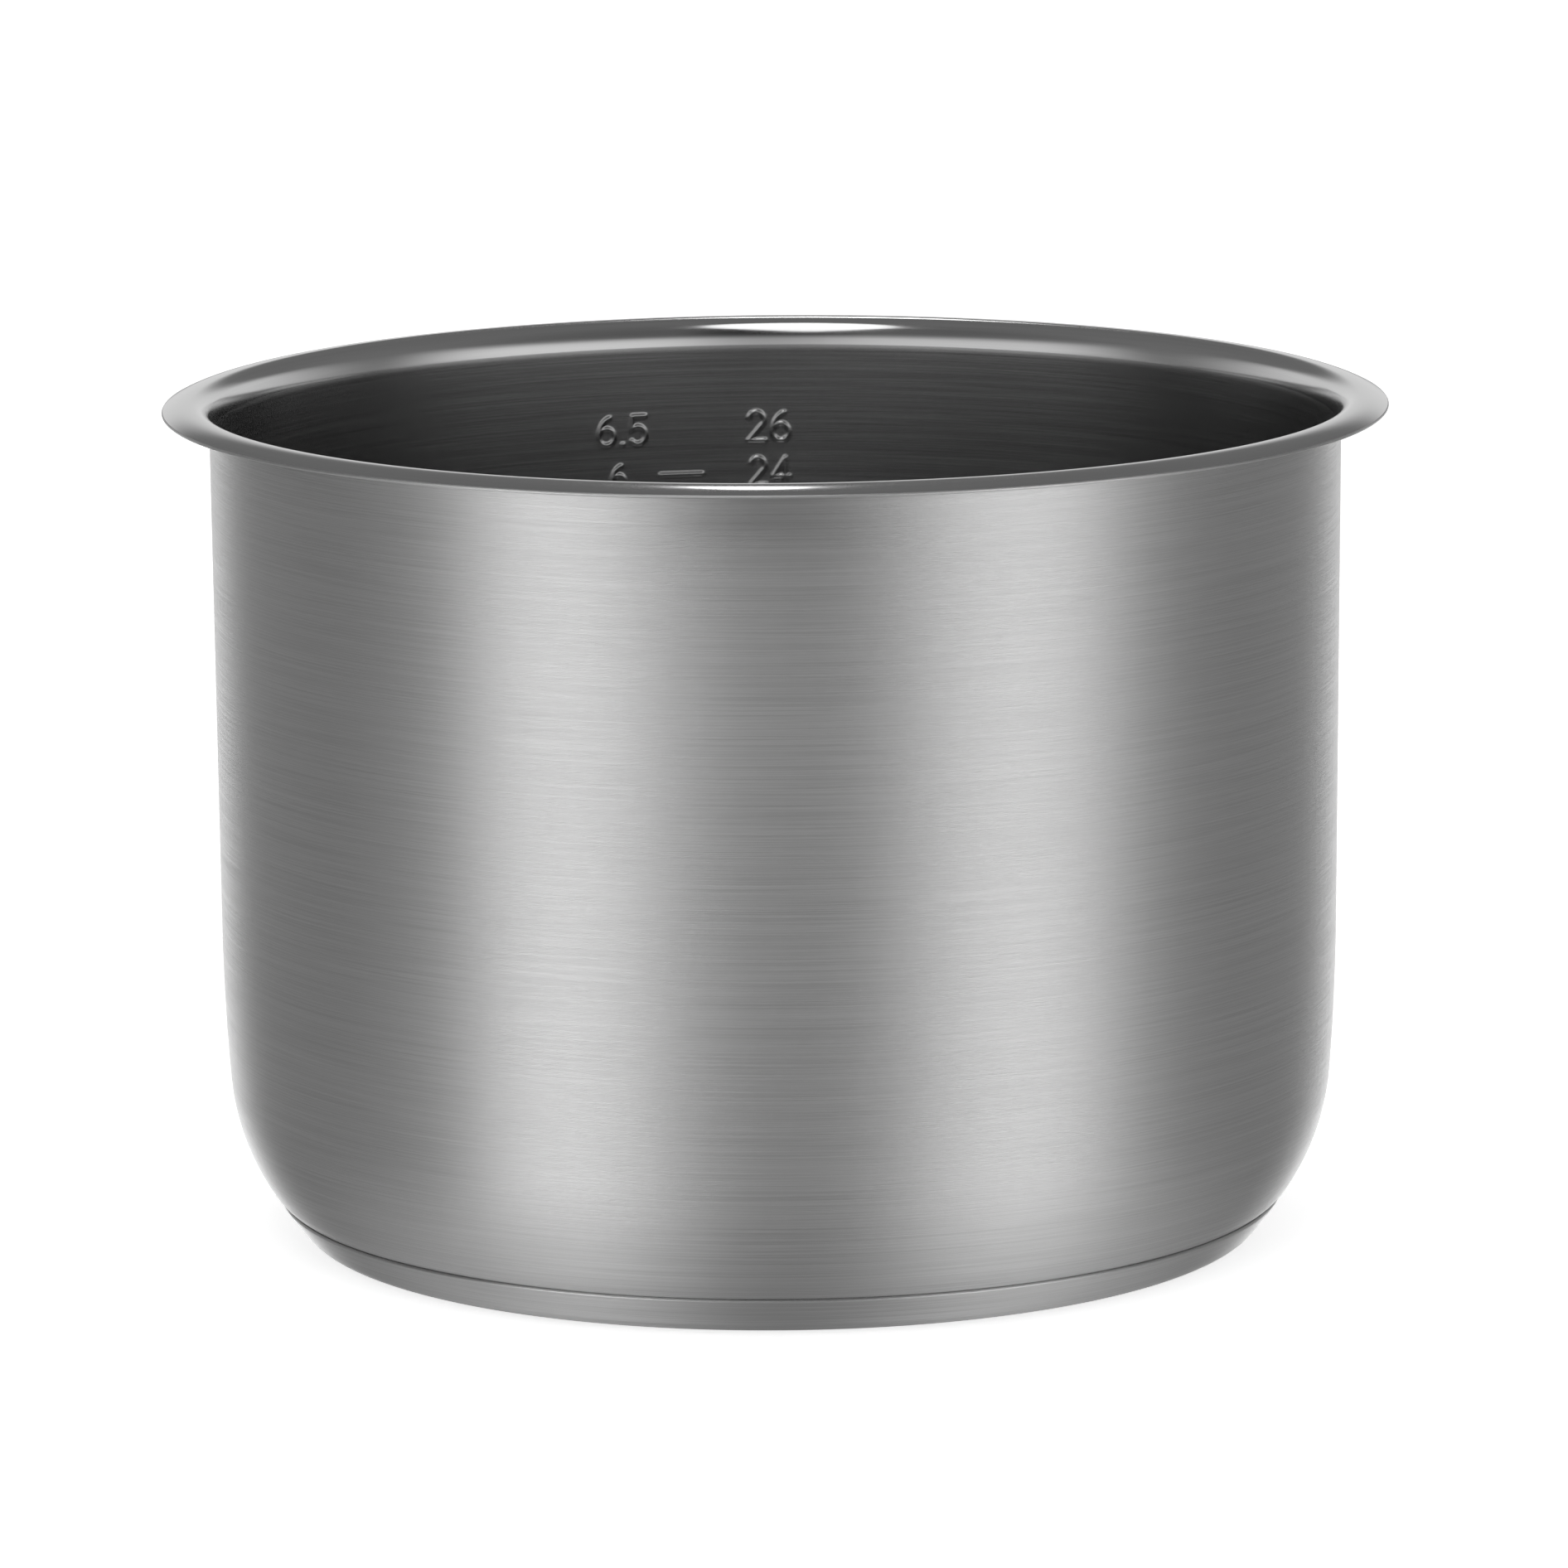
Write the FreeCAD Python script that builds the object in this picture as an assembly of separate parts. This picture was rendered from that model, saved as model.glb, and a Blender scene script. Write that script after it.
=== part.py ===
import FreeCAD, Part
import math
import os

# Inner pot of an electric rice and multi cooker: a deep-drawn steel shell whose rim is
# rolled outwards, on a thick base of an aluminium disc sealed under a pressed steel cap.
# Millimetres, +Z up, the pot's axis on Z, its base on the plane z = 0.

# Overall
rim_radius = 130.0
pot_height = 179.8

# Drawn shell
sheet = 0.8
brim_width = 6.2
brim_drop = 1.65
flare_radius = 4.6
wall_lean = 0.43
soft_radius = 480.0
soft_end = 4.35
corner_radius = 49.0
corner_end = 33.3
heel_radius = 12.0

# Thick base
core_thickness = 5.4
cap_sheet = 0.6
cap_lean = 37.5
cap_edge_radius = 5.5
cap_lip_bevel = 0.2

# Clearances
core_side_gap = 0.05
core_edge_width = 0.55

# Heights that follow from the base's layers
cap_top = cap_sheet
floor_under = cap_sheet + core_thickness

Z_AXIS = FreeCAD.Vector(0, 0, 1)
ORIGIN = FreeCAD.Vector(0, 0, 0)


def at(r, z):
    """A point of a cross-section: distance from the pot's axis, and height."""
    return FreeCAD.Vector(r, 0, z)


def polar(centre, radius, degrees):
    """The point of a circle in the cross-section at an angle from the outward direction."""
    a = math.radians(degrees)
    return at(centre.x + radius * math.cos(a), centre.z + radius * math.sin(a))


def line(a, b):
    return Part.makeLine(a, b)


def arc(centre, radius, start, end):
    """A circular arc of the cross-section between two angles in degrees."""
    middle = polar(centre, radius, (start + end) / 2)
    return Part.Arc(polar(centre, radius, start), middle, polar(centre, radius, end)).toShape()


def turned(edges):
    """The solid that a closed cross-section sweeps in one turn about the pot's axis."""
    face = Part.Face(Part.Wire(edges))
    return face.revolve(ORIGIN, Z_AXIS, 360)


# Shell: one line of centres carries both faces of the sheet, so that every bend of the
# inside is concentric with the same bend of the outside and the sheet keeps its thickness.
# The brim is the arc that leaves the crest level and falls by its drop over its width.
crest_radius = rim_radius - brim_width
brim_radius = (brim_width ** 2 + brim_drop ** 2) / (2 * brim_drop)
flare_centre = at(crest_radius, pot_height - flare_radius)
brim_centre = at(crest_radius, pot_height - brim_radius)
brim_end = 90 - math.degrees(math.asin(brim_width / brim_radius))

wall_top_inside = polar(flare_centre, flare_radius, 180 - wall_lean)
wall_top_outside = polar(flare_centre, flare_radius - sheet, 180 - wall_lean)

# The straight wall ends where the three bends below it, each turning on from the last,
# bring the sheet down on to the core.
lean = math.radians(wall_lean)
soft = math.radians(soft_end)
corner = math.radians(corner_end)
heel_drop = heel_radius * (1 - math.sin(corner))
corner_drop = corner_radius * (math.sin(corner) - math.sin(soft))
soft_drop = soft_radius * (math.sin(soft) - math.sin(lean))
wall_foot_z = floor_under + heel_drop + corner_drop + soft_drop
wall_foot_r = wall_top_outside.x - (wall_top_outside.z - wall_foot_z) * math.tan(lean)
wall_foot_outside = at(wall_foot_r, wall_foot_z)

soft_centre = polar(wall_foot_outside, soft_radius, 180 - wall_lean)
corner_centre = polar(soft_centre, soft_radius - corner_radius, -soft_end)
heel_centre = polar(corner_centre, corner_radius - heel_radius, -corner_end)

# The cap's mouth lies in the hollow that the heel leaves as it turns in, at the angle where
# that hollow is as deep as the cap's sheet: the cap is flush with the corner above it.
seam_angle = corner_end + math.degrees(math.acos(1 - cap_sheet / heel_radius))
seam = polar(heel_centre, heel_radius, -seam_angle)
wall_foot_inside = polar(soft_centre, soft_radius - sheet, -wall_lean)

shell = turned([
    line(at(0, floor_under), at(heel_centre.x, floor_under)),
    arc(heel_centre, heel_radius, -90, -corner_end),
    arc(corner_centre, corner_radius, -corner_end, -soft_end),
    arc(soft_centre, soft_radius, -soft_end, -wall_lean),
    line(wall_foot_outside, wall_top_outside),
    arc(flare_centre, flare_radius - sheet, 180 - wall_lean, 90),
    arc(brim_centre, brim_radius - sheet, 90, brim_end),
    line(polar(brim_centre, brim_radius - sheet, brim_end), polar(brim_centre, brim_radius, brim_end)),
    arc(brim_centre, brim_radius, brim_end, 90),
    arc(flare_centre, flare_radius, 90, 180 - wall_lean),
    line(wall_top_inside, wall_foot_inside),
    arc(soft_centre, soft_radius - sheet, -wall_lean, -soft_end),
    arc(corner_centre, corner_radius - sheet, -soft_end, -corner_end),
    arc(heel_centre, heel_radius - sheet, -corner_end, -90),
    line(at(heel_centre.x, floor_under + sheet), at(0, floor_under + sheet)),
    line(at(0, floor_under + sheet), at(0, floor_under)),
])

# Cap: its inside meets the shell on the seam circle, and from there its side leans in to
# a rounded edge and the flat that the pot stands on.
b = math.radians(cap_lean)
side_out = at(math.cos(b), -math.sin(b))
side_up = at(math.sin(b), math.cos(b))
cap_mouth_outside = seam + side_out * cap_sheet
edge_r = cap_mouth_outside.x
edge_r += ((cap_edge_radius - cap_mouth_outside.z) * math.sin(b) - cap_edge_radius) / math.cos(b)
edge_centre = at(edge_r, cap_edge_radius)
side_foot_outside = polar(edge_centre, cap_edge_radius, -cap_lean)
side_foot_inside = polar(edge_centre, cap_edge_radius - cap_sheet, -cap_lean)
lip_below = cap_mouth_outside - side_up * cap_lip_bevel
lip_above = cap_mouth_outside - side_out * cap_lip_bevel

cap = turned([
    line(at(0, 0), at(edge_r, 0)),
    arc(edge_centre, cap_edge_radius, -90, -cap_lean),
    line(side_foot_outside, lip_below),
    line(lip_below, lip_above),
    line(lip_above, seam),
    line(seam, side_foot_inside),
    arc(edge_centre, cap_edge_radius - cap_sheet, -cap_lean, -90),
    line(at(edge_r, cap_top), at(0, cap_top)),
    line(at(0, cap_top), at(0, 0)),
])

# Core: pressed flat between cap and shell, it fills the room between them out to the place
# where the sheets come together; its sides keep a small gap from both.
core_heel_centre = heel_centre + at(core_side_gap, 0)
core_edge_centre = edge_centre - at(core_side_gap, 0)
core_side_foot = polar(core_edge_centre, cap_edge_radius - cap_sheet, -cap_lean)


def core_width(degrees):
    """Level width left for the core beside the point of its heel at this angle."""
    p = polar(core_heel_centre, heel_radius, degrees)
    return core_side_foot.x + (p.z - core_side_foot.z) * math.tan(b) - p.x


low, high = -89.0, -seam_angle
for step in range(40):
    middle = (low + high) / 2
    if core_width(middle) > core_edge_width:
        low = middle
    else:
        high = middle
core_tip = polar(core_heel_centre, heel_radius, low)
core_side_top = at(core_tip.x + core_width(low), core_tip.z)

core = turned([
    line(at(0, cap_top), at(core_edge_centre.x, cap_top)),
    arc(core_edge_centre, cap_edge_radius - cap_sheet, -90, -cap_lean),
    line(core_side_foot, core_side_top),
    line(core_side_top, core_tip),
    arc(core_heel_centre, heel_radius, low, -90),
    line(at(core_heel_centre.x, floor_under), at(0, floor_under)),
    line(at(0, floor_under), at(0, cap_top)),
])

os.makedirs("parts", exist_ok=True)
shell.exportStep("parts/pot_body.step")
core.exportStep("parts/base_core.step")
cap.exportStep("parts/base_cap.step")

for name, solid in (("pot_body", shell), ("base_core", core), ("base_cap", cap)):
    box = solid.BoundBox
    print(name, solid.isValid(), solid.ShapeType, round(solid.Volume / 1000, 2), "cm3",
          round(box.XLength, 3), round(box.ZMin, 3), round(box.ZMax, 3))
print("seam", round(seam.x, 3), round(seam.z, 3), "flat radius", round(edge_r, 3))
print("wall foot", round(wall_foot_r, 3), round(wall_foot_z, 3))
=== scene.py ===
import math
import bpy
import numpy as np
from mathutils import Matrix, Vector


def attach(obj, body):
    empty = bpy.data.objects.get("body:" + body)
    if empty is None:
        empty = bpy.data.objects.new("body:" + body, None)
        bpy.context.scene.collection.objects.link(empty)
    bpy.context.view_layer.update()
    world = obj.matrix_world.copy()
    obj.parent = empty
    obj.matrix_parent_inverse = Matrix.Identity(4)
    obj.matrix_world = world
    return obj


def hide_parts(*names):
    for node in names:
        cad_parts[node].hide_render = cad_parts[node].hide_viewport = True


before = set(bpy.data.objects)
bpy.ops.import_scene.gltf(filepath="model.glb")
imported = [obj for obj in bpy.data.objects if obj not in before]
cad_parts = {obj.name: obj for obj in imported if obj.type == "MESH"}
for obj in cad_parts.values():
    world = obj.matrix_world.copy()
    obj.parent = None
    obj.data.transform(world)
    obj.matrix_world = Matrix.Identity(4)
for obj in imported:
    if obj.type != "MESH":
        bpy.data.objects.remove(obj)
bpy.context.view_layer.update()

# %% [markdown]
# # A steel cooking pot, from cross-section to picture
# The object is the lift-out pot of an electric rice cooker: one deep-drawn sheet of steel with a
# rolled rim, standing on a thick base. Everything about it is turned round one axis, so the lesson
# is about cross-sections, about marks pressed into a sheet, and about brushed metal under lamps.
# The solids are already loaded; their box is kept, because the finished pieces must stay inside it.

MM = 0.001
scene = bpy.context.scene

# %% [markdown]
# ## Drawing a cross-section
# A cross-section is a row of points, each a distance from the axis and a height. It could be drawn
# by hand as a curve, but the real sheet is bent by round tools, so straight runs and circular
# bends say what the maker set, and a number can be changed without redrawing.

# %% Runs and bends
def bend(centre, radius, start, end, steps):
    """Centre plus radius times (cosine, sine) of an angle running evenly from start to end, in degrees."""
    a = np.radians(np.linspace(start, end, steps + 1))
    return np.stack([centre[0] + radius * np.cos(a), centre[1] + radius * np.sin(a)], axis=1)


def run(p, q, shares):
    """Points on the line from p to q: p plus each share, from 0 to 1, of the way to q."""
    t = np.asarray(shares, float)[:, None]
    return (1 - t) * np.asarray(p, float) + t * np.asarray(q, float)


def joined(*pieces):
    """The pieces end to end, each without its first point, which the piece before it has."""
    return np.concatenate([pieces[0]] + [p[1:] for p in pieces[1:]])


def around(centre, radius, degrees):
    """One point of a circle in the cross-section."""
    return bend(centre, radius, degrees, degrees, 0)[0]


print("a quarter bend of 5 mm ends at", bend((0, 0), 5, 0, 90, 4)[-1].round(3))

# %% [markdown]
# ## The shell's sizes
# These are the sizes of the solid, in millimetres. Each bend of the inside shares its centre with
# the same bend of the outside, and the two radii differ by the sheet's thickness, so the sheet is
# equally thick everywhere, as a drawn sheet nearly is. The picture needs one thing more. Where the
# flare runs out into the wall, the last degrees of its bend are wide and soft: they mirror the low
# part of the room and make the pale line under the rim. So the flare is split in two. A tight bend,
# the mouth, is followed by a wide one, the ease, and the mouth's radius is chosen so that both
# together reach as far in as the single bend of the solid.

# %% Sizes and centres of the shell
rim_radius, pot_height, sheet = 130.0, 179.8, 0.8
brim_width, brim_drop, flare_radius = 6.2, 1.65, 4.6
wall_lean, soft_radius, soft_end = 0.43, 480.0, 4.35
corner_radius, corner_end, heel_radius = 49.0, 33.3, 12.0
floor_under, cap_sheet = 6.0, 0.6

lean, soft, corner = (math.radians(d) for d in (wall_lean, soft_end, corner_end))
crest_radius = rim_radius - brim_width
brim_radius = (brim_width ** 2 + brim_drop ** 2) / (2 * brim_drop)
flare_centre = (crest_radius, pot_height - flare_radius)
brim_centre = (crest_radius, pot_height - brim_radius)
edge_reach = rim_radius - sheet / 2 - crest_radius
brim_end = 90 - math.degrees(math.asin(edge_reach / (brim_radius - sheet / 2)))
edge_centre = around(brim_centre, brim_radius - sheet / 2, brim_end)
wall_top = {face: around(flare_centre, flare_radius - face, 180 - wall_lean) for face in (0.0, sheet)}
drops = (heel_radius * (1 - math.sin(corner)), corner_radius * (math.sin(corner) - math.sin(soft)),
         soft_radius * (math.sin(soft) - math.sin(lean)))
foot_z = floor_under + sum(drops)
foot_r = wall_top[sheet][0] - (wall_top[sheet][1] - foot_z) * math.tan(lean)
soft_centre = around((foot_r, foot_z), soft_radius, 180 - wall_lean)
corner_centre = around(soft_centre, soft_radius - corner_radius, -soft_end)
heel_centre = around(corner_centre, corner_radius - heel_radius, -corner_end)
seam_angle = corner_end + math.degrees(math.acos(1 - cap_sheet / heel_radius))
seam = around(heel_centre, heel_radius, -seam_angle)
wall_foot = {sheet: np.array([foot_r, foot_z]), 0.0: around(soft_centre, soft_radius - sheet, -wall_lean)}
print("seam circle at", seam.round(2), "straight wall starts at height", round(foot_z, 2))

# %% The eased flare
ease_radius, ease_turn = 14.0, 20.0
turn_cos, turn_sin = math.cos(math.radians(ease_turn)), math.sin(math.radians(ease_turn))
mouth_radius = (flare_radius - ease_radius * (1 - turn_cos)) / turn_cos
mouth_centre = (crest_radius, pot_height - mouth_radius)
ease_centre = around(mouth_centre, ease_radius - mouth_radius, -ease_turn)
ease_foot = around(ease_centre, ease_radius, 180 - wall_lean)
print("mouth radius", round(mouth_radius, 2), "ease ends", round(pot_height - ease_foot[1], 2), "mm down")

# %% [markdown]
# ## Level marks
# The back wall carries raised level marks, pressed inwards through the sheet: plain numbers and
# one dash for litres on the left, and for cups on the right. They could be separate beads laid on
# the wall, but a pressed mark lifts the inside and dents the outside alike. So each stroke is a
# line on the unrolled wall, and the sheet moves in by a height that depends on the distance to it.

# %% Strokes of the numbers
def oval(cx, cy, rx, ry, start, end, steps=14):
    """A part of an oval: centre plus (rx cosine, ry sine) of an angle from start to end, in degrees."""
    a = np.radians(np.linspace(start, end, steps + 1))
    return np.stack([cx + rx * np.cos(a), cy + ry * np.sin(a)], axis=1)


def strokes(*points):
    """Straight strokes from point to point."""
    return np.array(points, float)


# Each sign is drawn in a box one unit tall, with its left edge at 0.
signs = {
    "6": [oval(0.30, 0.29, 0.28, 0.29, 0, 360, 24), oval(0.56, 0.31, 0.54, 0.67, 182, 106)],
    "5": [strokes((0.54, 0.98), (0.10, 0.98), (0.06, 0.55)), oval(0.28, 0.31, 0.28, 0.31, 142, -140, 20)],
    "2": [oval(0.29, 0.71, 0.26, 0.27, 165, -35), strokes((0.50, 0.555), (0.02, 0.0), (0.58, 0.0))],
    "4": [strokes((0.46, 0.0), (0.46, 0.98), (0.02, 0.30), (0.60, 0.30))],
    ".": [strokes((0.08, 0.0), (0.10, 0.0))],
    "-": [strokes((0.0, 0.0), (1.0, 0.0))],
}
sign_step = {"6": 0.80, "5": 0.80, "2": 0.82, "4": 0.82, ".": 0.36, "-": 1.0}


def written(text, left, base, tall):
    """The strokes of a number as rows of (distance along the wall, height), in millimetres."""
    lines = []
    for sign in text:
        lines += [np.array([left, base]) + tall * s for s in signs[sign]]
        left += tall * sign_step[sign]
    return lines


upper_level, lower_level, dash_level = pot_height - 27.6, pot_height - 37.6, pot_height - 34.9
mark_lines = (written("6.5", -40.4, upper_level, 6.4) + written("6", -37.4, lower_level, 5.4)
              + written("-", -26.0, dash_level, 9.4)
              + written("26", -6.2, upper_level, 6.6) + written("24", -5.8, lower_level, 6.2))
segments = np.concatenate([np.concatenate([s[:-1], s[1:]], axis=1) for s in mark_lines])
mark_half_width, mark_height = 0.75, 0.28

# The patch of the unrolled wall that holds every mark, with room to spare.
patch_left, patch_right = -43.5, 11.5
patch_foot, patch_top = pot_height - 39.5, pot_height - 19.5
print("strokes of the level marks:", len(mark_lines), "straight pieces:", len(segments))

# %% Height of the pressing
def pressed(along, height):
    """How far the sheet is pressed in: a smooth hump of the distance to the nearest stroke, which is
    mark_height on the stroke's line and nothing from mark_half_width outwards."""
    p = np.stack([along, height], axis=-1)[..., None, :]
    a, b = segments[:, :2], segments[:, 2:]
    d = b - a
    t = np.clip(((p - a) * d).sum(-1) / np.maximum((d * d).sum(-1), 1e-9), 0, 1)
    gap = np.sqrt(((p - a - t[..., None] * d) ** 2).sum(-1)).min(-1)
    x = np.clip(1 - gap / mark_half_width, 0, 1)
    return mark_height * x * x * (3 - 2 * x)


print("pressed on a stroke:", pressed(np.array([-22.0]), np.array([dash_level])).round(2), "mm")

# %% [markdown]
# ## Turning a cross-section into a piece
# Blender has a Screw modifier for this, but a grid is just as short: every column of the grid is
# the cross-section turned to one angle. The columns needn't be even, so they are close together
# where the marks are. The two ends of the section lie on the axis and become one point each.

# %% The turned grid
def turned(name, section, angles, push=None):
    """Point (i, j) is section point i at angle j: (r cos, r sin, z). push takes radii and heights of
    the whole grid and gives new radii. Rings are joined by quads, and the two poles by triangles."""
    ring = section[1:-1]
    r = np.repeat(ring[:, :1], len(angles), axis=1)
    z = np.repeat(ring[:, 1:], len(angles), axis=1)
    if push is not None:
        r = push(r, z)
    grid = np.stack([r * np.cos(angles), r * np.sin(angles), z], axis=-1).reshape(-1, 3)
    poles = np.array([[0, 0, section[0, 1]], [0, 0, section[-1, 1]]])
    m, n = r.shape
    i, j = np.meshgrid(np.arange(m - 1), np.arange(n), indexing="ij")
    k = (j + 1) % n
    quads = np.stack([i * n + j, i * n + k, (i + 1) * n + k, (i + 1) * n + j], axis=-1).reshape(-1, 4)
    j, k = np.arange(n), (np.arange(n) + 1) % n
    under = np.stack([np.full(n, m * n), k, j], axis=1)
    over = np.stack([np.full(n, m * n + 1), (m - 1) * n + j, (m - 1) * n + k], axis=1)
    mesh = bpy.data.meshes.new(name)
    mesh.from_pydata((np.concatenate([grid, poles]) * MM).tolist(), [],
                     quads.tolist() + under.tolist() + over.tolist())
    mesh.polygons.foreach_set("use_smooth", np.ones(len(mesh.polygons), bool))
    mesh.update()
    piece = bpy.data.objects.new(name, mesh)
    scene.collection.objects.link(piece)
    print(name, "points", len(mesh.vertices), "triangles", 2 * len(quads) + 2 * n)
    return piece


# %% [markdown]
# ## The drawn shell
# The section starts under the floor, goes up the outside, over the rim and down the inside to the
# floor again. The rim's edge is rounded as a rolled and buffed edge is. The wall has close rows
# only at the height of the marks, so that the piece stays light.

# %% Section of the shell
def wall_shares(top, foot):
    """Shares down the wall: a few far rows, and rows 0.3 mm apart between the marks' heights."""
    drop = top[1] - foot[1]
    first, last = top[1] - patch_top, top[1] - patch_foot
    close = np.linspace(first, last, 68)
    return np.concatenate([np.linspace(0, first, 4)[:-1], close, np.linspace(last, drop, 9)[1:]]) / drop


down_outside = wall_shares(wall_top[sheet], wall_foot[sheet])
down_inside = wall_shares(ease_foot, wall_foot[0.0])
floor_over = floor_under + sheet

shell_section = joined(
    run((0, floor_under), (heel_centre[0], floor_under), np.linspace(0, 1, 4)),
    bend(heel_centre, heel_radius, -90, -seam_angle, 6),
    bend(heel_centre, heel_radius, -seam_angle, -corner_end, 8),
    bend(corner_centre, corner_radius, -corner_end, -soft_end, 14),
    bend(soft_centre, soft_radius, -soft_end, -wall_lean, 7),
    run(wall_foot[sheet], wall_top[sheet], 1 - down_outside[::-1]),
    bend(flare_centre, flare_radius - sheet, 180 - wall_lean, 90, 9),
    bend(brim_centre, brim_radius - sheet, 90, brim_end, 6),
    bend(edge_centre, sheet / 2, brim_end - 180, brim_end, 10),
    bend(brim_centre, brim_radius, brim_end, 90, 10),
    bend(mouth_centre, mouth_radius, 90, 180 - ease_turn, 16),
    bend(ease_centre, ease_radius, 180 - ease_turn, 180 - wall_lean, 14),
    run(ease_foot, wall_foot[0.0], down_inside),
    bend(soft_centre, soft_radius - sheet, -wall_lean, -soft_end, 7),
    bend(corner_centre, corner_radius - sheet, -soft_end, -corner_end, 14),
    bend(heel_centre, heel_radius - sheet, -corner_end, -90, 9),
    run((heel_centre[0], floor_over), (0, floor_over), np.linspace(0, 1, 12)),
)
print("points of the shell's section:", len(shell_section))

# %% Turn the shell and press its marks
wall_mid = 0.5 * (wall_top[0.0][0] + wall_foot[0.0][0])
marks_right, marks_left = (math.pi / 2 - s / wall_mid for s in (patch_right, patch_left))
close_angles = np.linspace(marks_right, marks_left, 170)
far_angles = np.linspace(marks_left, marks_right + 2 * math.pi, 162)[1:-1]
shell_angles = np.concatenate([close_angles, far_angles])


def press_marks(r, z):
    """The wall's points move towards the axis by the height of the pressing there."""
    here = (r > 0.95 * wall_mid) & (z > patch_foot) & (z < patch_top)
    along = np.broadcast_to(wall_mid * (math.pi / 2 - shell_angles), r.shape)
    near = here & (along > patch_left) & (along < patch_right)
    moved = r.copy()
    moved[near] -= pressed(along[near], z[near])
    return moved


pot_body = turned("pot_body_shell", shell_section, shell_angles, press_marks)

# %% [markdown]
# ## The base cap
# Under the floor lies an aluminium plate, sealed by a cap of thin steel whose upper edge is the
# dark line round the foot of the pot. The plate can't be seen, so its solid stays. The cap is
# turned from its own section, with a leaning side, a rounded edge and the flat it stands on. Its
# mouth lies in the hollow that the heel leaves as it turns in, so cap and corner are flush, and it
# stops 0.4 mm short of the steel above: that open joint is what looks dark.

# %% Section of the cap
cap_lean, cap_edge, cap_lip, seam_gap = 37.5, 5.5, 0.3, 0.4
b = math.radians(cap_lean)
side_out = np.array([math.cos(b), -math.sin(b)])
side_up = np.array([math.sin(b), math.cos(b)])
mouth_inside = seam - seam_gap * side_up
mouth = mouth_inside + cap_sheet * side_out
edge_r = mouth[0] + ((cap_edge - mouth[1]) * math.sin(b) - cap_edge) / math.cos(b)
round_centre = (edge_r, cap_edge)
lip_centre = mouth - cap_lip * side_out - cap_lip * side_up
side_foot = {face: around(round_centre, cap_edge - face, -cap_lean) for face in (0.0, cap_sheet)}
cap_section = joined(
    run((0, 0), (edge_r, 0), np.linspace(0, 1, 14)),
    bend(round_centre, cap_edge, -90, -cap_lean, 12),
    run(side_foot[0.0], lip_centre + cap_lip * side_out, np.linspace(0, 1, 5)),
    bend(lip_centre, cap_lip, -cap_lean, 90 - cap_lean, 6),
    run(lip_centre + cap_lip * side_up, mouth_inside, np.linspace(0, 1, 3)),
    run(mouth_inside, side_foot[cap_sheet], np.linspace(0, 1, 4)),
    bend(round_centre, cap_edge - cap_sheet, -cap_lean, -90, 6),
    run((edge_r, cap_sheet), (0, cap_sheet), np.linspace(0, 1, 4)),
)
base_cap = turned("base_cap_pressing", cap_section, np.linspace(0, 2 * math.pi, 241)[:-1])
print("flat that the pot stands on:", round(2 * edge_r, 1), "mm across")

# %% [markdown]
# ## Maths with shader sockets
# A finish is a small calculation done at every point of a surface. Blender draws it as nodes. The
# class below lets Python write the same calculation as an expression: each operator adds a Math
# node, and any other node comes from one method that takes its type, settings and sockets.

# %% A socket that can be calculated with
class Socket:
    """One output socket of a node tree. Operators on it add Math nodes to that tree."""

    def __init__(self, tree, socket=None):
        self.tree, self.socket = tree, socket

    def node(self, kind, settings=None, inputs=None, output=0):
        """A new node of this kind with its settings and inputs; the socket is the named output."""
        n = self.tree.nodes.new(kind)
        for key, value in (settings or {}).items():
            setattr(n, key, value)
        for key, value in (inputs or {}).items():
            if isinstance(value, Socket):
                self.tree.links.new(value.socket, n.inputs[key])
            else:
                n.inputs[key].default_value = value
        return Socket(self.tree, n.outputs[output] if len(n.outputs) else None)

    def math(self, operation, first, second=0.0):
        """The result of one operation on two values, either of which may be a socket."""
        return self.node("ShaderNodeMath", {"operation": operation}, {0: first, 1: second})

    def __add__(self, other):
        return self.math("ADD", self, other)

    def __sub__(self, other):
        return self.math("SUBTRACT", self, other)

    def __mul__(self, other):
        return self.math("MULTIPLY", self, other)

    def root(self):
        return self.math("SQRT", self)

    def ramp(self, low, high, to_low=0.0, to_high=1.0):
        """A smooth step from to_low to to_high while the value goes from low to high."""
        return self.node("ShaderNodeMapRange", {"interpolation_type": "SMOOTHSTEP"}, {
            "Value": self, "From Min": low, "From Max": high, "To Min": to_low, "To Max": to_high})

    def tint(self, dark, light):
        """The colour that lies this share of the way from dark to light."""
        return self.node("ShaderNodeMix", {"data_type": "RGBA"},
                         {"Factor": self, 6: dark, 7: light}, output=2)


def new_finish(name):
    """An empty material: its tree, and its output node."""
    material = bpy.data.materials.new(name)
    material.use_nodes = True
    tree = material.node_tree
    tree.nodes.clear()
    return material, Socket(tree), tree.nodes.new("ShaderNodeOutputMaterial")


def grey(value):
    """A colour whose red, green and blue are the same value."""
    return (value, value, value, 1.0)


print("socket maths ready")

# %% [markdown]
# ## Brushed steel
# The belt that brushed this pot ran round it, so its scratches are rings. Two things come of that.
# Seen near, there are fine streaks along the rings: noise that is long round the pot and short
# across it. Seen from afar, light spreads across the scratches, which is what the shader's
# anisotropy does: it draws the lights out into upright bands. The wall and the cap are coarsely
# brushed. The inside is satin: much smoother, so it mirrors its own far wall and stays dark.

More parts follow.
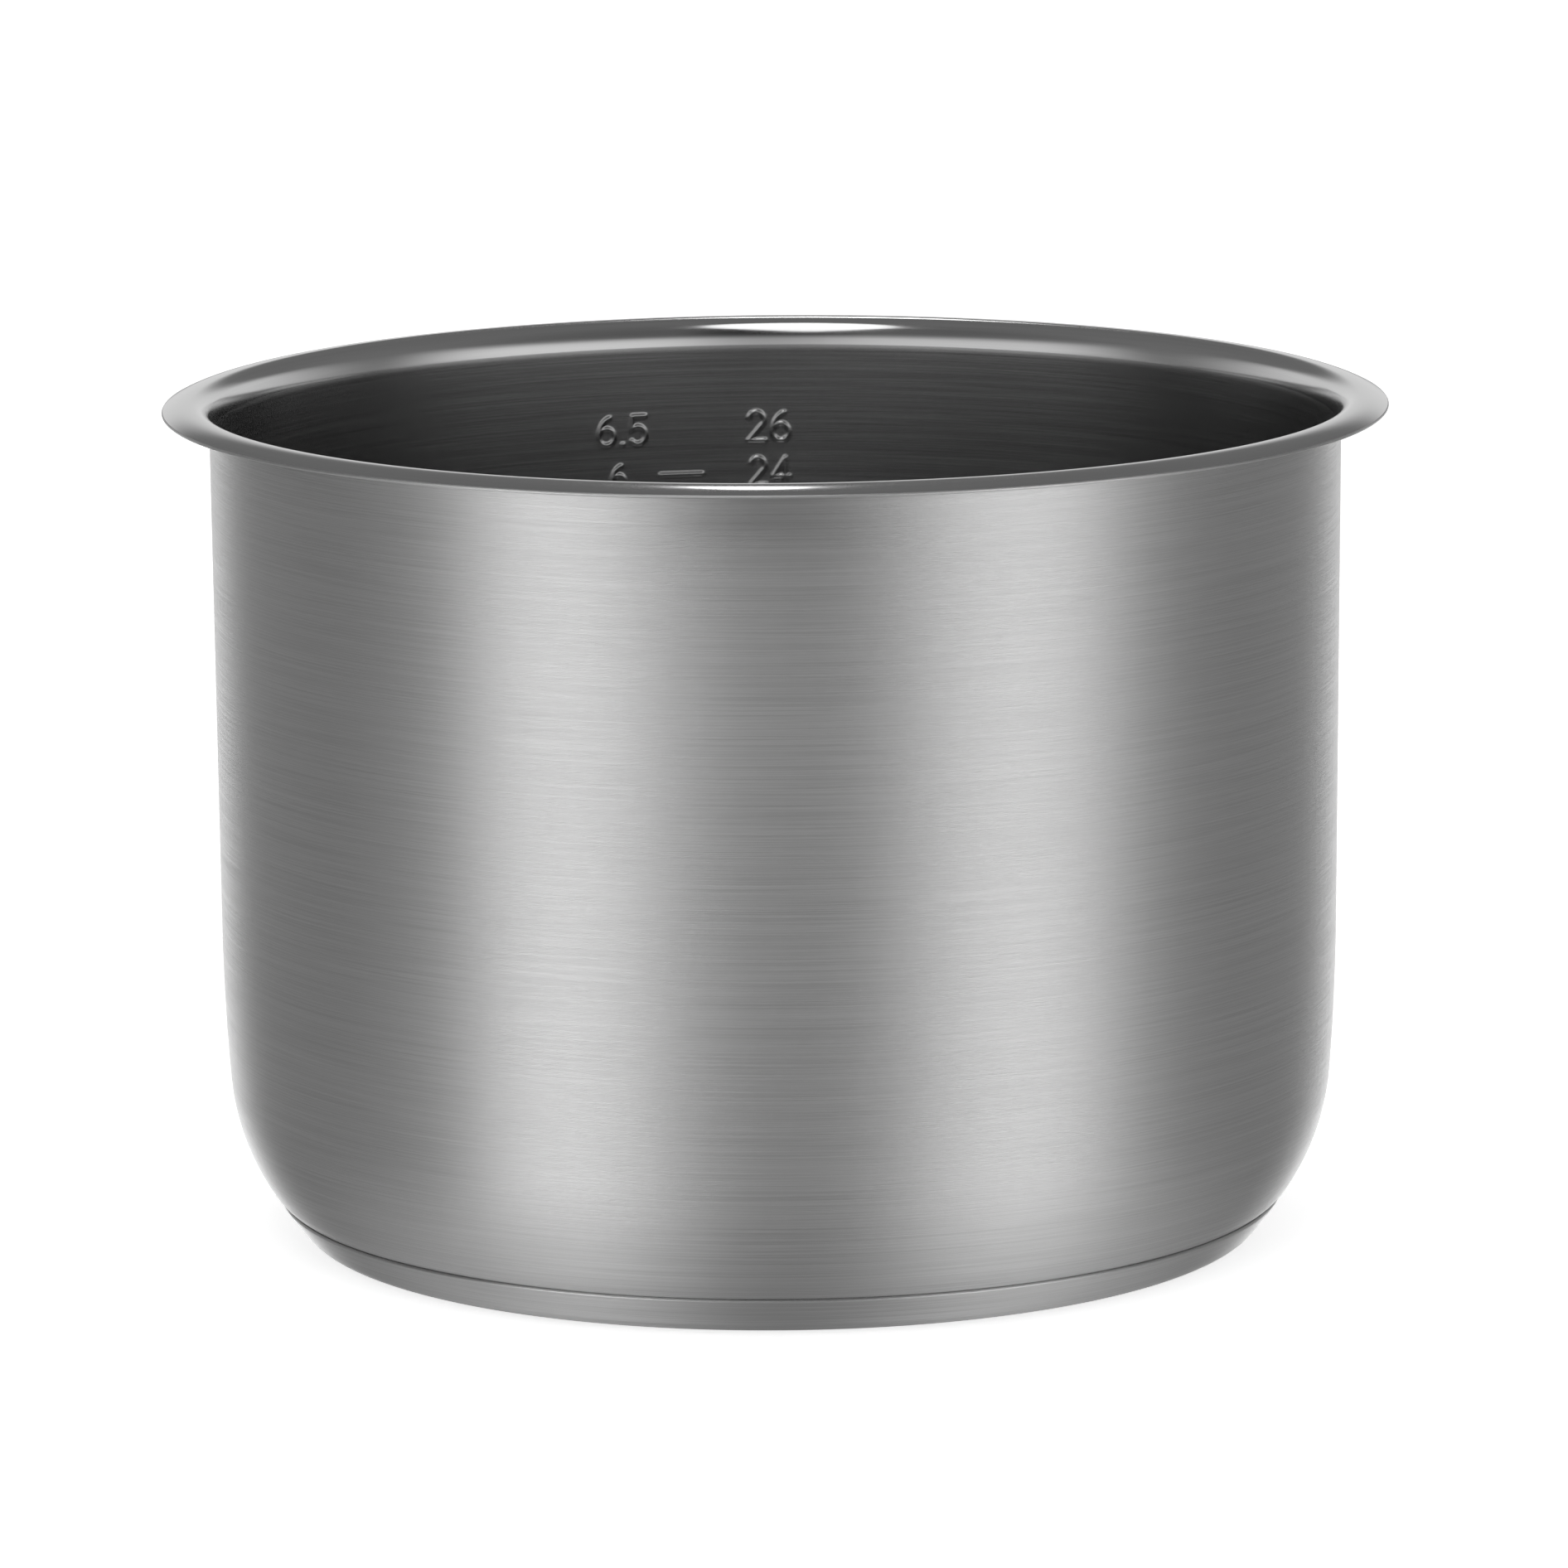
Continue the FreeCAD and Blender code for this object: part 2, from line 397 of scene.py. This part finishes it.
# %% Streaks and the brushed finish
def ring_streaks(start, across, length):
    """Noise read at (x, y, z + r): on the wall the height changes, on the floor the radius does, so the
    streaks follow rings everywhere. across and length are the streaks' sizes in metres."""
    place = start.node("ShaderNodeTexCoord", output="Object")
    split = place.node("ShaderNodeSeparateXYZ", None, {0: place})
    x, y, z = (Socket(start.tree, split.socket.node.outputs[i]) for i in range(3))
    radius = (x * x + y * y).root()
    where = start.node("ShaderNodeCombineXYZ", None,
                       {0: x * (1 / length), 1: y * (1 / length), 2: (z + radius) * (1 / across)})
    return start.node("ShaderNodeTexNoise", {"noise_dimensions": "3D"},
                      {"Vector": where, "Scale": 1.0, "Detail": 3.0, "Roughness": 0.6})


def brushed(name, dark, light, rough, spread, anisotropy, bump):
    """Steel whose colour runs from dark to light and whose roughness from rough to rough plus spread,
    both by the same streaks; light is drawn out across the streaks by the anisotropy."""
    material, start, out = new_finish(name)
    fine, broad = ring_streaks(start, 0.00022, 0.045), ring_streaks(start, 0.0009, 0.070)
    streak = (fine * 0.75 + broad * 0.25).ramp(0.30, 0.70)
    relief = start.node("ShaderNodeBump", None, {"Strength": bump, "Distance": 0.00005, "Height": streak})
    shader = start.node("ShaderNodeBsdfPrincipled", None, {
        "Base Color": streak.tint(dark, light), "Metallic": 1.0, "Roughness": streak * spread + rough,
        "Anisotropic": anisotropy, "Anisotropic Rotation": 0.25, "Normal": relief})
    start.tree.links.new(shader.socket, out.inputs["Surface"])
    print(name, "nodes", len(start.tree.nodes))
    return material


wall_finish = brushed("brushed_wall_steel", grey(0.48), grey(0.62), 0.48, 0.10, 0.80, 0.4)
cap_finish = brushed("brushed_cap_steel", grey(0.46), grey(0.60), 0.46, 0.10, 0.80, 0.35)
room_finish = brushed("satin_inside_steel", grey(0.485), grey(0.55), 0.22, 0.045, 0.38, 0.02)

# %% [markdown]
# ## Polished rim
# The top of the rim is buffed to a near mirror, from its outer edge to where the flare meets the
# inside wall. A mirror needs very little: a low roughness that varies in faint rings, as a buffing
# wheel leaves it. The rounded edge and the underside of the rim keep the wall's brushing.

# %% Polished and plain finishes
def polished(name, dark, light, rough):
    """Metal whose colour runs from dark to light and whose roughness from rough to a little more, by
    the same faint rings."""
    material, start, out = new_finish(name)
    rings = ring_streaks(start, 0.0008, 0.060)
    shader = start.node("ShaderNodeBsdfPrincipled", None, {
        "Base Color": rings.tint(dark, light), "Metallic": 1.0, "Roughness": rings * 0.06 + rough})
    start.tree.links.new(shader.socket, out.inputs["Surface"])
    print(name, "nodes", len(start.tree.nodes))
    return material


rim_finish = polished("polished_rim_steel", grey(0.58), grey(0.66), 0.10)
core_finish = polished("rolled_aluminium", grey(0.70), grey(0.80), 0.30)

# %% Give each piece its finish and its place
for finish in (wall_finish, rim_finish, room_finish):
    pot_body.data.materials.append(finish)
polish_depth, brim_depth, edge_width = 6.1, 3.0, 0.25
rings = shell_section[1:-1]
middle = 0.5 * (rings[:-1, 1] + rings[1:, 1])
inside = np.arange(len(middle)) >= np.argmax(rings[:, 1])
on_brim = (rings[1:, 0] < rings[:-1, 0]) & (rings[1:, 0] < rim_radius - edge_width)
buffed = np.where(inside, middle > pot_height - polish_depth, on_brim & (middle > pot_height - brim_depth))
row_finish = np.where(buffed, 1, np.where(inside, 2, 0))
poles = np.repeat([0, 2], len(shell_angles))
face_finish = np.concatenate([np.repeat(row_finish, len(shell_angles)), poles])
pot_body.data.polygons.foreach_set("material_index", face_finish.astype(np.int32))
base_cap.data.materials.append(cap_finish)

for piece, node, slot in ((pot_body, "pot_body", "shell_steel"), (base_cap, "base_cap", "cap_steel")):
    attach(piece, "root")
    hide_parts(node)
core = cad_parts["base_core"]
core.data.materials.clear()
core.data.materials.append(core_finish)
print("rows of the shell by finish:", np.bincount(row_finish).tolist())

# %% [markdown]
# ## Floor and lamps
# The picture has a plain white ground. It glows almost to white by itself and takes a little light
# from a wide lamp above, so the pot keeps a faint shadow. The steel shouldn't mirror that glow,
# because then its dark bands would be lost, so the floor and its lamp are hidden from glossy rays.
# Two small oval lamps are there for the rim alone. The one behind the pot makes the spark on the
# front of the rim, and the one high in front makes the spark on the back of it.

# %% Floor
floor_mesh = bpy.data.meshes.new("studio_floor")
reach, floor_z = 20.0, -0.0002
corners = [(-reach, -reach, floor_z), (reach, -reach, floor_z), (reach, reach, floor_z),
           (-reach, reach, floor_z)]
floor_mesh.from_pydata(corners, [], [(0, 1, 2, 3)])
studio_floor = bpy.data.objects.new("studio_floor", floor_mesh)
scene.collection.objects.link(studio_floor)
floor_finish, start, out = new_finish("pale_floor")
glow = start.node("ShaderNodeEmission", None, {"Color": (1, 1, 1, 1), "Strength": 0.64})
cover = start.node("ShaderNodeBsdfDiffuse", None, {"Color": (0.8, 0.8, 0.8, 1)})
both = start.node("ShaderNodeAddShader", None, {0: glow, 1: cover})
start.tree.links.new(both.socket, out.inputs["Surface"])
floor_mesh.materials.append(floor_finish)
studio_floor.visible_glossy = False
print("floor", 2 * reach, "m across")

# %% Lamps
def lamp(name, side, rise, distance, width, height, power, shape="RECTANGLE", target=(0, 0, 0.10)):
    """A flat lamp that faces the target, side degrees to the right of the front and rise degrees up."""
    a, e = math.radians(side), math.radians(rise)
    away = Vector((math.sin(a) * math.cos(e), -math.cos(a) * math.cos(e), math.sin(e)))
    place = Vector(target) + distance * away
    light = bpy.data.lights.new(name, "AREA")
    light.shape, light.size, light.size_y, light.energy = shape, width, height, power
    holder = bpy.data.objects.new(name, light)
    scene.collection.objects.link(holder)
    holder.matrix_world = Matrix.Translation(place) @ away.to_track_quat("Z", "Y").to_matrix().to_4x4()
    holder.visible_camera = False
    print(name, "at", [round(c, 2) for c in place])
    return holder


lamp("back_lamp", 181.2, 43.5, 1.7, 0.11, 0.46, 0.4, "ELLIPSE")
lamp("top_lamp", -8, 56, 1.6, 0.86, 1.45, 5.0, "ELLIPSE")
sky = lamp("floor_lamp", 0, 89, 5.0, 16.0, 16.0, 500)
sky.visible_glossy = False

# %% [markdown]
# ## Room light
# Steel shows little but its surroundings, so the room is drawn as a function of direction: x to the
# right, y away from the camera, z up, on a sphere of radius one. Boards and lamps could stand there
# instead, but a board has hard edges, and the rim would mirror them. Smooth steps of the direction
# fade by themselves. Each term is one thing in the room, and each was set by what shows it: the
# wall shows the low part of the room in front, its edges show what is behind, and the rim, which
# turns through every angle, shows all of it in a few millimetres.

# %% Directions in the room
world = bpy.data.worlds.new("studio_room")
scene.world = world
world.use_nodes = True
world.node_tree.nodes.clear()
start = Socket(world.node_tree)
direction = start.node("ShaderNodeTexCoord", output="Generated")
split = start.node("ShaderNodeSeparateXYZ", None, {0: direction}).socket.node
x, y, z = (Socket(world.node_tree, split.outputs[i]) for i in range(3))
level = (x * x + y * y).root() + 0.005


def towards(side):
    """Cosine of the level angle between a direction and the one that is side degrees right of the front."""
    a = math.radians(side)
    return start.math("DIVIDE", x * math.sin(a) - y * math.cos(a), level)


ahead, to_left, to_right = towards(0.0), towards(-42.8), towards(48.0)
print("nodes for the directions:", len(world.node_tree.nodes))

# %% The room, term by term
# Grey walls, darker high up and straight in front of the pot.
walls = z.ramp(-0.05, 0.30) * y.ramp(-0.75, 0.0, -0.09, -0.04) + x * x * 0.03 + 0.22
walls = walls + ahead.ramp(0.92, 0.995, 0.0, -0.10) * z.ramp(-0.75, -0.35)
# Two bright patches low in front, left and right: they are the two bands on the wall.
bands = to_left.ramp(0.89, 0.998, 0.0, 8.0) + to_left.ramp(0.55, 0.90, 0.0, 0.45)
bands = bands + to_right.ramp(0.87, 0.998, 0.0, 6.8) + to_right.ramp(0.55, 0.90, 0.0, 0.45)
bands = bands * z.ramp(-0.08, 0.06, 1.0, 0.0) * z.ramp(-0.55, 0.05, 0.02, 1.0)
# A paler strip above them, for the line under the rim.
strip = to_left.ramp(0.70, 0.98, 0.0, 0.20) + to_right.ramp(0.70, 0.98, 0.0, 0.32)
strip = (strip + y.ramp(-0.60, 0.0, 0.40, 0.0)) * z.ramp(0.0, 0.08) * z.ramp(0.24, 0.40, 1.0, 0.0)
# A pale horizon behind the pot, for the crest and the two ends of the rim.
horizon = z.ramp(-0.10, 0.02) * z.ramp(0.16, 0.34, 0.56, 0.0) * y.ramp(0.0, 0.8, 0.06, 1.0)
# White boards low behind the pot, left and right, for the bright edges of the wall.
boards = y.ramp(0.77, 0.94, 0.0, 3.4) * (x * x).ramp(0.001, 0.015)
boards = boards * z.ramp(-0.20, -0.11, 1.0, 0.0) * z.ramp(-0.55, -0.35)
# Light from the floor at both sides, for the flanks of the bottom corner.
under = z.ramp(-0.80, -0.40, 1.0, 0.0) * (x * x * 1.4 + y.ramp(0.45, 0.75, 0.07, -0.05))

room = start.node("ShaderNodeBackground", None, {
    "Color": (1, 1, 1, 1), "Strength": walls + bands + strip + horizon + boards + under})
world_out = world.node_tree.nodes.new("ShaderNodeOutputWorld")
world.node_tree.links.new(room.socket, world_out.inputs["Surface"])
print("nodes for the room:", len(world.node_tree.nodes))

# %% [markdown]
# ## Camera
# The camera stands a good two metres off with a long lens, a little above the rim. Its distance,
# height and lens were worked out from how the ovals of the rim and of the base differ: the base
# looks rounder than the rim, because it is seen more from above.

# %% Place the camera
camera_rise, camera_roll, camera_distance = 10.813, -0.443, 2.075
focal_pixels, picture = 11701.8, 1892
pivot, aim = Vector((0, 0, 0.0856)), Vector((0.00125, 0.0, 0.0957))
e = math.radians(camera_rise)
eye = pivot + camera_distance * Vector((0, -math.cos(e), math.sin(e)))
forward = (aim - eye).normalized()
right = forward.cross(Vector((0, 0, 1))).normalized()
up = right.cross(forward)
camera_data = bpy.data.cameras.new("photo_camera")
camera_data.sensor_width = 36.0
camera_data.lens = focal_pixels / picture * camera_data.sensor_width
camera_data.clip_end = 100.0
camera = bpy.data.objects.new("photo_camera", camera_data)
scene.collection.objects.link(camera)
axes = Matrix((right, up, -forward)).transposed().to_4x4()
camera.matrix_world = Matrix.Translation(eye) @ axes @ Matrix.Rotation(math.radians(camera_roll), 4, "Z")
scene.camera = camera
scene.view_settings.view_transform = "Standard"
print("camera at", [round(c, 3) for c in eye], "lens", round(camera_data.lens, 1), "mm")
